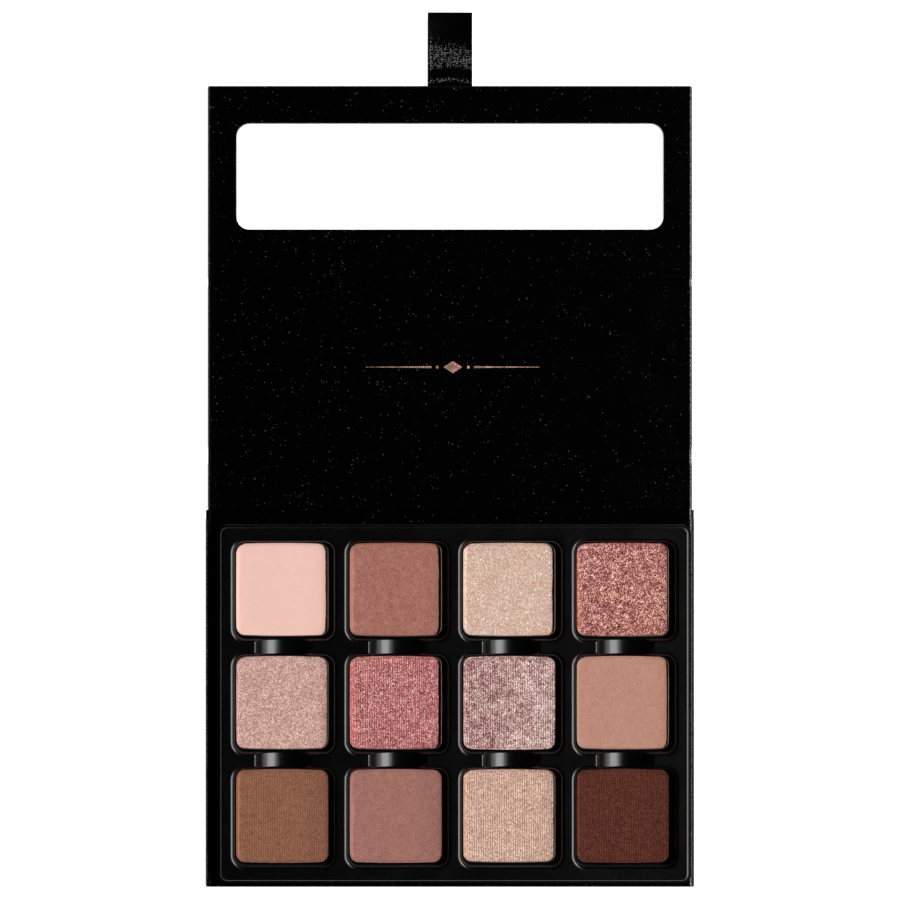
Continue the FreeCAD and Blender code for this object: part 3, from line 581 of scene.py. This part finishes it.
def cake_surface(order, shade, top_z):
    """Points of a cake's top about its middle, and for each one its share of the border colour, its ribbing
    and how far to the left it is.
    """
    columns, rows = cake_lines(shade)
    straight = CAKE_REACH - CAKE_CORNER
    past = np.clip(np.abs(columns) - straight, 0, CAKE_CORNER)
    reach = straight + np.sqrt(np.maximum(CAKE_CORNER ** 2 - past ** 2, 0))
    x, y = np.meshgrid(columns, rows, indexing="ij")
    y = y * reach[:, None]
    over_x, over_y = np.abs(x) - straight, np.abs(y) - straight
    beyond = np.hypot(np.maximum(over_x, 0), np.maximum(over_y, 0))
    depth = CAKE_CORNER - beyond - np.minimum(np.maximum(over_x, over_y), 0)
    ragged = 1 + 0.3 * wobble(x, y, 2 * MM, order) + 0.35 * wobble(x, y, 0.5 * MM, order + CRUMB_SEED)
    gaps = (x + CAKE_REACH, CAKE_REACH - x, y + CAKE_REACH, CAKE_REACH - y)
    slopes = [1 - gap / (shade.border * part * ragged) for gap, part in zip(gaps, BORDER_SHARES)]
    border = np.clip(np.maximum.reduce([*slopes, 1 - depth / (CORNER_BORDER * ragged)]), 0, 1)
    # Share of the edge colour, on the left and back borders only: partly the border powder's own colour,
    # partly a painted highlight.
    bare_and_highlight = np.clip(np.maximum(slopes[0], slopes[3]), 0, 1)
    bare_and_highlight *= ease(np.clip((CAKE_REACH - x) / CAKE_CORNER, 0, 1))
    climb = CLIMB * ease(np.clip(1 - (CAKE_REACH - x) / CLIMB_RUN, 0, 1))
    if shade.gap > CLEAR_GAP:
        border, climb = bare_and_highlight, 0.0
    phase = x / RIB_PITCH + 0.06 * wobble(x, y, 4 * MM, order + WEAVE_SEED)
    dots = 0.75 + 0.4 * wobble(np.round(phase - 0.25) * DOT_LENGTH, y, DOT_LENGTH, order + DOT_SEED)
    # The rib wave shapes the surface, and is kept as well for the painted shading of the ribs.
    rib_and_shading = np.sin(2 * math.pi * phase) * dots * (1 - border) * (shade.ribs > 0)
    swell = 0.03 * MM * wobble(x, y, 5 * MM, order + SWELL_SEED)
    swell = swell + 0.008 * MM * wobble(x, y, 0.4 * MM, order + DUST_SEED)
    z = top_z - CAKE_PRESS * (1 - border) * (1 - climb) + shade.ribs * rib_and_shading + swell * (1 - border)
    left = 0.6 - 1.2 * x / CAKE_REACH + 0.5 * wobble(x, y, 3 * MM, order + LEFT_SEED)
    left = ease(np.clip(left, 0, 1))
    waves = 0.12 * wobble(y, 0 * y, 4 * MM, order + WAVE_SEED) + 0.1 * wobble(y, 0 * y, 0.7 * MM, order)
    x = x - shade.gap * (1 + waves) * ((x + CAKE_REACH) / (2 * CAKE_REACH)) ** 4
    return np.stack([*bowed(x, y), z], axis=-1), bare_and_highlight, rib_and_shading, left


def cake_piece(order, spot):
    """Pressed cake: a ribbed or plain middle, a border that rises to the pan's rim, and a side below it."""
    shade = SHADES[spot]
    low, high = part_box(f"powder_{spot}")
    middle = Vector(((low.x + high.x) / 2, (low.y + high.y) / 2, 0))
    surface, bare_and_highlight, rib_and_shading, left = cake_surface(order, shade, high.z)
    many, deep = bare_and_highlight.shape
    points = [middle + Vector(point) for point in surface.reshape(-1, 3)]
    index = np.arange(many * deep).reshape(many, deep)
    faces = [(index[i, j], index[i + 1, j], index[i + 1, j + 1], index[i, j + 1])
             for i in range(many - 1) for j in range(deep - 1)]
    edge = [*index[:, 0], *index[-1, 1:], *index[-2::-1, -1], *index[0, -2:0:-1]]
    count = len(edge)
    inner = CAKE_HALF / PAN_HALF * (1 - LIP_PLAY / PAN_HALF)
    above, crisp = edge, [(edge[step], edge[(step + 1) % count]) for step in range(count)]
    lip = [points[i].z - LIP_THICK for i in edge]
    for scale, heights in ((1.0, lip), (inner, lip), (inner, [low.z] * count)):
        below = range(len(points), len(points) + count)
        ring = [(points[i] - middle).xy * scale for i in edge]
        points += [middle + Vector((*place, height)) for place, height in zip(ring, heights)]
        faces += [(above[step], below[step], below[(step + 1) % count], above[(step + 1) % count])
                  for step in range(count)]
        crisp += [(below[step], below[(step + 1) % count]) for step in range(count)]
        above = below
    faces.append(tuple(above))
    mesh = mesh_from(f"cake_{spot}", points, [tuple(int(i) for i in face) for face in faces], crisp)
    for attribute, values in (("bare_and_highlight", bare_and_highlight), ("rib_and_shading", rib_and_shading), ("left", left)):
        every = np.zeros(len(points), np.float32)
        every[:many * deep] = values.reshape(-1)
        mesh.attributes.new(attribute, "FLOAT", "POINT").data.foreach_set("value", every)
    piece = new_piece(f"cake_{spot}", mesh, MATERIALS[f"shade_{spot}"], "base")
    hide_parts(f"powder_{spot}")


RIBBON_THICK = 0.25 * MM
RIBBON_STEPS = 420
BEAD_PITCH = 1.1 * MM
BEAD_BAND = 1.0 * MM
BEAD_HEIGHT = 0.1 * MM
BEAD_END = 15.5 * MM
BEAD_FADE = 3 * MM
BEAD_COLUMNS = 9
PLAIN_COLUMNS = 25
RIGHT_BEADS = 0.4
LAYER_GAP = 0.8 * MM
PROFILE_STEPS = 400
# Slope of the ribbon's upper layer, at distances in mm beyond the flap's edge
RIBBON_SLOPES = ((0.0, 0.9), (0.5, 0.7), (1.0, 0.12), (1.7, 0.0), (2.4, -0.12), (3.2, -0.25), (4.6, -0.22),
                 (5.6, 0.0), (10.2, 0.02), (15.5, 0.28), (20.5, 0.42))
RIBBON_ARCH = 0.9
LEVEL_SLOPE = 0.16
FLAP_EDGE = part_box("flap_wrap")[1].y


def ribbon_profile():
    """Distances beyond the flap's edge, the slope there, and the height that those slopes add up to."""
    beyond = np.linspace(0, RIBBON_SLOPES[-1][0], PROFILE_STEPS)
    slope = np.interp(beyond, *zip(*RIBBON_SLOPES))
    rise = np.concatenate([[0], np.cumsum((slope[1:] + slope[:-1]) / 2 * np.diff(beyond))])
    return beyond, slope, rise


RIBBON_PROFILE = ribbon_profile()


def ribbon_lift(y, share):
    """Height of the upper layer above the flat, and how level it lies: a crest by the flap, then a curl."""
    beyond, slope, rise = RIBBON_PROFILE
    place = (y - FLAP_EDGE) / MM
    place += RIBBON_ARCH * share * share * min(1.0, max(0.0, place))
    steep = float(np.interp(place, beyond, slope)) * (1 + 0.35 * share)
    return float(np.interp(place, beyond, rise)) * MM, math.exp(-(steep / LEVEL_SLOPE) ** 2)


def ribbon_columns(half):
    """Places across the ribbon, close together in the two beaded bands at its edges."""
    inside = half - BEAD_BAND
    return np.concatenate([np.linspace(-half, -inside, BEAD_COLUMNS)[:-1],
                           np.linspace(-inside, inside, PLAIN_COLUMNS),
                           np.linspace(inside, half, BEAD_COLUMNS)[1:]])


def ribbon_piece():
    """Satin ribbon folded double, its upper layer waved, with beads along both edges."""
    low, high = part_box("ribbon_tab")
    radius = (high.z - low.z) / 2 - RIBBON_THICK / 2
    fold = high.y - radius - RIBBON_THICK / 2
    run = fold - low.y
    half = (high.x - low.x) / 2
    length = 2 * run + math.pi * radius
    middle_z = (low.z + high.z) / 2
    columns = ribbon_columns(half)
    points, levels = [], []
    for step in range(RIBBON_STEPS):
        s = length * step / (RIBBON_STEPS - 1)
        if s < run:
            y, z, upper = low.y + s, middle_z - radius, False
        elif s < length - run:
            angle = (s - run) / radius
            y = fold + radius * math.sin(angle)
            z = middle_z - radius * math.cos(angle)
            upper = True
        else:
            y, z, upper = fold - (s - (length - run)), middle_z + radius, True
        under_lift = max(0.0, ribbon_lift(y, 0.0)[0] - LAYER_GAP)
        for x in columns:
            band = max(0.0, (abs(x) - half) / BEAD_BAND + 1)
            bead = BEAD_HEIGHT * math.sin(math.pi * s / BEAD_PITCH) ** 2 * math.sin(math.pi * band)
            bead *= RIGHT_BEADS if x > 0 else min(1.0, max(0.0, (BEAD_END - (y - FLAP_EDGE)) / BEAD_FADE))
            lift, level = ribbon_lift(y, x / half)
            points.append((x, y, z + (lift if upper else under_lift) + bead))
            levels.append(level)
    many = len(columns)
    faces = [(i * many + j, i * many + j + 1, (i + 1) * many + j + 1, (i + 1) * many + j)
             for i in range(RIBBON_STEPS - 1) for j in range(many - 1)]
    mesh = mesh_from("ribbon", points, faces)
    mesh.attributes.new("level", "FLOAT", "POINT").data.foreach_set("value", levels)
    piece = new_piece("ribbon", mesh, MATERIALS["ribbon"], "flap")
    thick = piece.modifiers.new("cloth", "SOLIDIFY")
    thick.thickness = RIBBON_THICK
    thick.offset = 0.0
    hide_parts("ribbon_tab")


ORNAMENT_PLACE = (0.8 * MM, 94.8 * MM)
FOIL_THICK = 0.02 * MM
# Sizes of the ornament's shapes, in mm about its middle
LOZENGE_LONG, LOZENGE_HIGH = 2.6, 1.7
DOT_PLACE, DOT_RADIUS = 4.4, 0.42
RULE_FROM, RULE_TO = 6.0, 24.5
RULE_HALF, TIP_HALF = 0.26, 0.05


def ornament_piece():
    """Foil ornament on the lid's lining: a lozenge between two tapered rules, with dots."""
    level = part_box("lid_liner")[1].z
    build = bmesh.new()

    def stamp(points):
        places = [(ORNAMENT_PLACE[0] + x * MM, ORNAMENT_PLACE[1] + y * MM, level) for x, y in points]
        face = build.faces.new([build.verts.new(place) for place in places])
        raised = bmesh.ops.extrude_face_region(build, geom=[face])["geom"]
        moved = [item for item in raised if isinstance(item, bmesh.types.BMVert)]
        bmesh.ops.translate(build, verts=moved, vec=(0, 0, FOIL_THICK))

    def dot(x, radius, sides=20):
        turns = [2 * math.pi * side / sides for side in range(sides)]
        stamp([(x + radius * math.cos(turn), radius * math.sin(turn)) for turn in turns])

    stamp([(-LOZENGE_LONG, 0), (0, -LOZENGE_HIGH), (LOZENGE_LONG, 0), (0, LOZENGE_HIGH)])
    for side in (-1, 1):
        dot(side * DOT_PLACE, DOT_RADIUS)
        start, end = side * RULE_FROM, side * RULE_TO
        stamp([(start, -RULE_HALF), (end, -TIP_HALF), (end, TIP_HALF), (start, RULE_HALF)])
    bmesh.ops.recalc_face_normals(build, faces=build.faces)
    mesh = bpy.data.meshes.new("foil_ornament")
    build.to_mesh(mesh)
    build.free()
    piece = new_piece("foil_ornament", mesh, FOIL, "lid")


FLOOR_SIZE = 6.0
FLOOR_DROP = 0.05 * MM
FLOOR_GLOW = 1.0
VIEW_CENTRE = (0.0, 71.4 * MM)
CAMERA_HEIGHT = 870 * MM
LENS = 123.0
# The room's own light at the horizon and overhead
HORIZON, OVERHEAD = 0.012, 0.003


def floor():
    """A pale floor that glows evenly, so no shadow shows on it."""
    half = FLOOR_SIZE / 2
    mesh = bpy.data.meshes.new("floor")
    corners = [(-half, -half), (half, -half), (half, half), (-half, half)]
    mesh.from_pydata([(x, y, -FLOOR_DROP) for x, y in corners], [], [(0, 1, 2, 3)])
    plane = bpy.data.objects.new("floor", mesh)
    bpy.context.scene.collection.objects.link(plane)
    g = Graph("pale_floor")
    tone = g.noise(0.4, 2.0)
    colour = g.mix(tone, srgb(250, 250, 250), srgb(252, 252, 252))
    mesh.materials.append(g.finish(base_color=colour, roughness=0.9, emission_color=(1, 1, 1, 1),
                                   emission_strength=FLOOR_GLOW))


def soft_light(name, azimuth, elevation, distance, width, height, radiance):
    """A softbox that faces the palette, so many degrees around it from +X and above it."""
    target = Vector((*VIEW_CENTRE, 0))
    turn, rise = math.radians(azimuth), math.radians(elevation)
    away = Vector((math.cos(rise) * math.cos(turn), math.cos(rise) * math.sin(turn), math.sin(rise)))
    lamp = bpy.data.lights.new(name, "AREA")
    lamp.shape = "RECTANGLE"
    lamp.size = width
    lamp.size_y = height
    lamp.energy = radiance * math.pi * width * height
    light = bpy.data.objects.new(name, lamp)
    light.location = target + away * distance
    light.rotation_euler = away.to_track_quat("Z", "Y").to_euler()
    bpy.context.scene.collection.objects.link(light)


def studio():
    """A broad key from the right with a brighter middle, and a dark room."""
    soft_light("key", azimuth=0, elevation=48, distance=1.6, width=1.7, height=0.75, radiance=6.3)
    soft_light("key_spill", azimuth=0, elevation=44, distance=1.65, width=2.2, height=1.7, radiance=2.0)
    world = bpy.data.worlds.new("studio")
    world.use_nodes = True
    bpy.context.scene.world = world
    tree = world.node_tree
    direction = tree.nodes.new("ShaderNodeTexCoord").outputs["Generated"]
    height = tree.nodes.new("ShaderNodeSeparateXYZ")
    tree.links.new(direction, height.inputs[0])
    fade = tree.nodes.new("ShaderNodeMapRange")
    tree.links.new(height.outputs["Z"], fade.inputs["Value"])
    for name, value in (("From Min", 0.0), ("From Max", 0.5), ("To Min", HORIZON), ("To Max", OVERHEAD)):
        fade.inputs[name].default_value = value
    tree.links.new(fade.outputs["Result"], tree.nodes["Background"].inputs["Strength"])
    tree.nodes["Background"].inputs["Color"].default_value = (1, 1, 1, 1)


def camera():
    """A camera straight above the palette, as in the photograph."""
    data = bpy.data.cameras.new("camera")
    data.lens = LENS
    data.clip_start = 0.01
    eye = bpy.data.objects.new("camera", data)
    eye.location = (*VIEW_CENTRE, CAMERA_HEIGHT)
    bpy.context.scene.collection.objects.link(eye)
    bpy.context.scene.camera = eye


camera()
studio()
floor()
dress_nodes()
for order, spot in enumerate(SPOTS):
    pan_piece(spot)
    cake_piece(order, spot)
ribbon_piece()
ornament_piece()
bpy.context.scene.view_settings.view_transform = "Standard"
